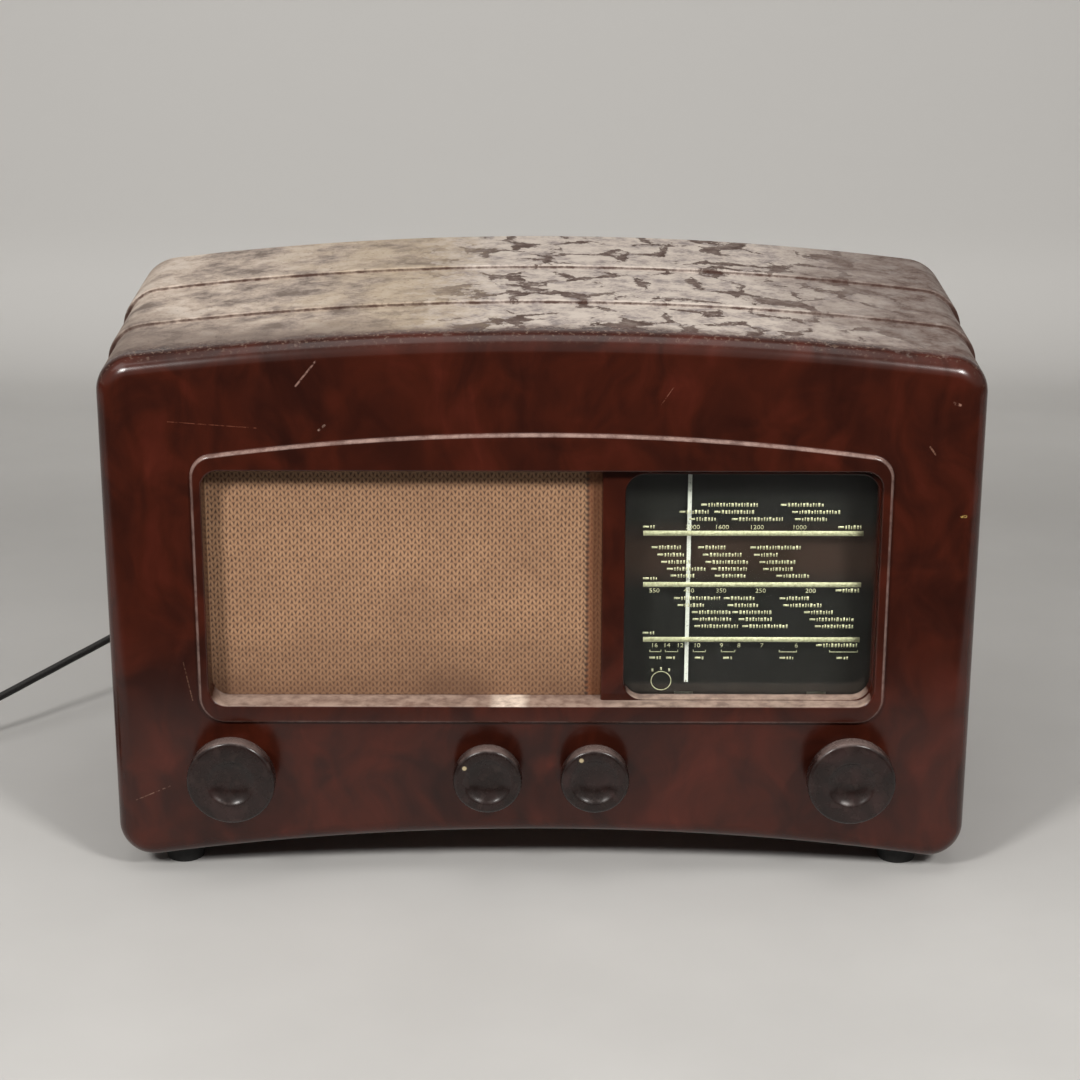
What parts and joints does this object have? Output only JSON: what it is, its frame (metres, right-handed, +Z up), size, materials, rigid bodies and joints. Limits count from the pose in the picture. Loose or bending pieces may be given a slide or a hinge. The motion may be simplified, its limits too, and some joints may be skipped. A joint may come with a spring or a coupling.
{
  "type": "radio receiver",
  "caption": "Table radio in a moulded stepped case with a cloth grille, a glass tuning dial and turning knobs, its valve chassis, tuning drive and loudspeaker inside.",
  "frame": {"origin": "centre of the footprint of the cabinet and its knobs, on the table under the feet", "axes": "+X to the right seen from the front, +Y from the front face into the depth, +Z up"},
  "size_m": [0.6448, 0.2837, 0.3028],
  "materials": {
    "phenolic": "moulded phenolic, dark red-brown with mottling, polished, worn pale on top",
    "knob_phenolic": "moulded phenolic, near-black brown, polished",
    "hardboard": "pressed fibreboard, smooth brown face",
    "plywood": "birch plywood, unfinished",
    "screw_steel": "zinc plated steel, dulled",
    "foot_rubber": "black rubber, matt",
    "felt": "brown felt",
    "grille_cloth": "woven loudspeaker cloth, gold and tan with brown flecks",
    "speaker_paint": "dark grey enamel on pressed steel",
    "speaker_paper": "pulp paper cone, dark grey",
    "magnet_iron": "magnet block, grey paint",
    "chassis_steel": "cadmium plated steel sheet, dulled",
    "valve_glass": "glass bulbs on dark moulded bases, silvered inside",
    "laminated_board": "paper-based laminate, brown",
    "transformer_iron": "varnished steel laminations and windings",
    "can_aluminium": "drawn aluminium cans, dulled",
    "lamp_brass": "brass lamp holders with small glass bulbs",
    "gang_steel": "plated steel frame",
    "vane_aluminium": "aluminium vanes",
    "drum_aluminium": "pressed aluminium drum",
    "drive_cord_yarn": "braided waxed yarn",
    "pulley_brass": "turned brass, dulled",
    "spindle_steel": "turned steel",
    "pointer_paint": "white painted sheet metal",
    "dial_paint": "matt black-brown enamel on sheet steel",
    "dial_glass": null,
    "control_steel": "plated steel cans",
    "cord_rubber": "black rubber sheath",
    "tie_card": "dark grey tie band",
    "plug_plastic": "moulded plug, dark brown",
    "plug_brass": "brass pins"
  },
  "bodies": {
    "root": {"cabinet": "phenolic", "bottom_cover": "hardboard", "back_cover": "hardboard", "baffle_board": "plywood", "bottom_screws": "screw_steel", "back_screws": "screw_steel", "chassis_bolts": "screw_steel", "baffle_screws": "screw_steel", "glass_clips": "screw_steel", "feet": "foot_rubber", "felt_washers": "felt", "grille_cloth": "grille_cloth", "speaker_frame": "speaker_paint", "speaker_cone": "speaker_paper", "speaker_magnet": "magnet_iron", "chassis": "chassis_steel", "mixer_valve": "valve_glass", "if_valve": "valve_glass", "detector_valve": "valve_glass", "output_valve": "valve_glass", "rectifier_valve": "valve_glass", "valve_holders": "laminated_board", "coil_pack": "laminated_board", "socket_panel": "laminated_board", "wave_switch": "laminated_board", "mains_transformer": "transformer_iron", "output_transformer": "transformer_iron", "smoothing_capacitor": "can_aluminium", "if_can_1": "can_aluminium", "if_can_2": "can_aluminium", "dial_lamps": "lamp_brass", "gang_frame": "gang_steel", "gang_stator": "vane_aluminium", "drive_cord": "drive_cord_yarn", "tuning_bush": "pulley_brass", "control_nuts": "pulley_brass", "dial_plate": "dial_paint", "dial_glass": "dial_glass", "volume_control": "control_steel", "tone_control": "control_steel", "cord_grommet": "cord_rubber", "mains_cord": "cord_rubber", "cord_coil": "cord_rubber", "coil_tie": "tie_card", "plug_body": "plug_plastic", "plug_pins": "plug_brass"},
    "gang": {"gang_rotor": "vane_aluminium", "drive_drum": "drum_aluminium"},
    "tuning": {"tuning_spindle": "spindle_steel", "tuning_knob": "knob_phenolic"},
    "idler_left": {"pulley_left": "pulley_brass"},
    "idler_right": {"pulley_right": "pulley_brass"},
    "needle": {"pointer": "pointer_paint"},
    "volume": {"volume_spindle": "spindle_steel", "volume_knob": "knob_phenolic"},
    "tone": {"tone_spindle": "spindle_steel", "tone_knob": "knob_phenolic"},
    "wave": {"wave_spindle": "spindle_steel", "wave_knob": "knob_phenolic"}
  },
  "joints": [
    {"name": "tuning_turn", "type": "hinge", "parent": "root", "child": "tuning", "pos_m": [0.1615, -0.0925, 0.0625], "axis": [0, 1, 0], "range_deg": [-342, 1278]},
    {"name": "gang_turn", "type": "hinge", "parent": "root", "child": "gang", "pos_m": [0.11, -0.0595, 0.106], "axis": [0, 1, 0], "range_deg": [-39, 143]},
    {"name": "idler_left_turn", "type": "hinge", "parent": "root", "child": "idler_left", "pos_m": [0.036, -0.0595, 0.218], "axis": [0, 1, 0], "range_deg": [-230, 854]},
    {"name": "idler_right_turn", "type": "hinge", "parent": "root", "child": "idler_right", "pos_m": [0.182, -0.0595, 0.218], "axis": [0, 1, 0], "range_deg": [-230, 854]},
    {"name": "pointer_slide", "type": "slide", "parent": "root", "child": "needle", "axis": [1, 0, 0], "range_m": [-0.0241, 0.0895]},
    {"name": "volume_turn", "type": "hinge", "parent": "root", "child": "volume", "pos_m": [-0.1615, -0.0925, 0.0625], "axis": [0, 1, 0], "range_deg": [0, 300]},
    {"name": "tone_turn", "type": "hinge", "parent": "root", "child": "tone", "pos_m": [-0.028, -0.0925, 0.0625], "axis": [0, 1, 0], "range_deg": [-78, 192]},
    {"name": "wave_turn", "type": "hinge", "parent": "root", "child": "wave", "pos_m": [0.028, -0.0925, 0.0625], "axis": [0, 1, 0], "range_deg": [0, 60]}
  ],
  "couplings": [
    {"joint": "gang_turn", "follows": "tuning_turn", "ratio": 0.11111},
    {"joint": "idler_left_turn", "follows": "tuning_turn", "ratio": 0.66667},
    {"joint": "idler_right_turn", "follows": "tuning_turn", "ratio": 0.66667},
    {"joint": "pointer_slide", "follows": "tuning_turn", "m_per_rad": 0.004}
  ]
}
